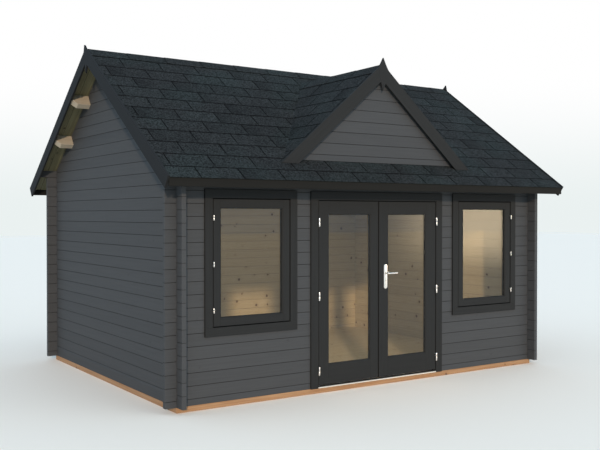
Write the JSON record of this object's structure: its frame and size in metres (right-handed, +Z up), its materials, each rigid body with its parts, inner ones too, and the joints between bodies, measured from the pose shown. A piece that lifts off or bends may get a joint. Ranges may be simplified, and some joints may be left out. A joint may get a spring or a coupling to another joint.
{
  "type": "garden house",
  "caption": "Dark stained timber log garden house with a steep shingled roof, a front dormer gable, glazed double doors and windows",
  "frame": {"origin": "on the ground, at the middle of the house's plan", "axes": "+X along the front wall to the right as seen from outside, +Y from the front to the back, +Z up; the door faces -Y"},
  "size_m": [4.922, 3.908, 3.4378],
  "materials": {
    "wall_stain": "opaque dark grey stain on planed spruce logs, satin",
    "trim_stain": "opaque near-black stain on planed spruce, satin",
    "bare_timber": "untreated planed spruce",
    "shingle": "mineral-granulated bitumen felt shingles, matt",
    "glazing": "clear double glazing",
    "fittings": "satin silver",
    "threshold_metal": "mill-finish strip on a timber sill"
  },
  "bodies": {
    "house": {"front_wall_left": "wall_stain", "front_wall_right": "wall_stain", "front_wall_over_door": "wall_stain", "back_wall": "wall_stain", "left_wall": "wall_stain", "right_wall": "wall_stain", "plate_log_front": "wall_stain", "plate_log_back": "wall_stain", "dormer_gable": "wall_stain", "fascia_front": "trim_stain", "fascia_back": "trim_stain", "barge_left_front": "trim_stain", "barge_left_back": "trim_stain", "barge_right_front": "trim_stain", "barge_right_back": "trim_stain", "dormer_barge_left": "trim_stain", "dormer_barge_right": "trim_stain", "door_frame": "trim_stain", "window_frame_left": "trim_stain", "window_frame_right": "trim_stain", "window_sash_left": "trim_stain", "window_sash_right": "trim_stain", "base_beam_front": "bare_timber", "base_beam_back": "bare_timber", "base_beam_left": "bare_timber", "base_beam_right": "bare_timber", "floor_joists": "bare_timber", "floor_boards": "bare_timber", "roof_boards_front": "bare_timber", "roof_boards_back": "bare_timber", "dormer_boards_left": "bare_timber", "dormer_boards_right": "bare_timber", "purlin_front_lower": "bare_timber", "purlin_front_upper": "bare_timber", "purlin_back_lower": "bare_timber", "purlin_back_upper": "bare_timber", "ridge_purlin": "bare_timber", "roof_covering_front": "shingle", "roof_covering_back": "shingle", "dormer_covering_left": "shingle", "dormer_covering_right": "shingle", "window_glass_left": "glazing", "window_glass_right": "glazing", "window_hinges_left": "fittings", "window_hinges_right": "fittings", "frame_hinges": "fittings", "threshold": "threshold_metal"},
    "left_door": {"door_leaf_left": "trim_stain", "door_glass_left": "glazing", "door_hinges_left": "fittings"},
    "right_door": {"door_leaf_right": "trim_stain", "door_glass_right": "glazing", "door_hinges_right": "fittings", "handle_plates": "fittings"},
    "lever": {"door_lever": "fittings"}
  },
  "joints": [
    {"name": "left_door_hinge", "type": "hinge", "parent": "house", "child": "left_door", "pos_m": [-0.757, -1.682, 0.935], "axis": [0, 0, -1], "range_deg": [0, 165]},
    {"name": "right_door_hinge", "type": "hinge", "parent": "house", "child": "right_door", "pos_m": [0.757, -1.682, 0.935], "axis": [0, 0, 1], "range_deg": [0, 165]},
    {"name": "lever_turn", "type": "hinge", "parent": "right_door", "child": "lever", "pos_m": [0.068, -1.668, 1.128], "axis": [0, 1, 0], "range_deg": [0, 45], "stiffness_Nm_per_rad": 1, "springref_deg": -28.65}
  ]
}
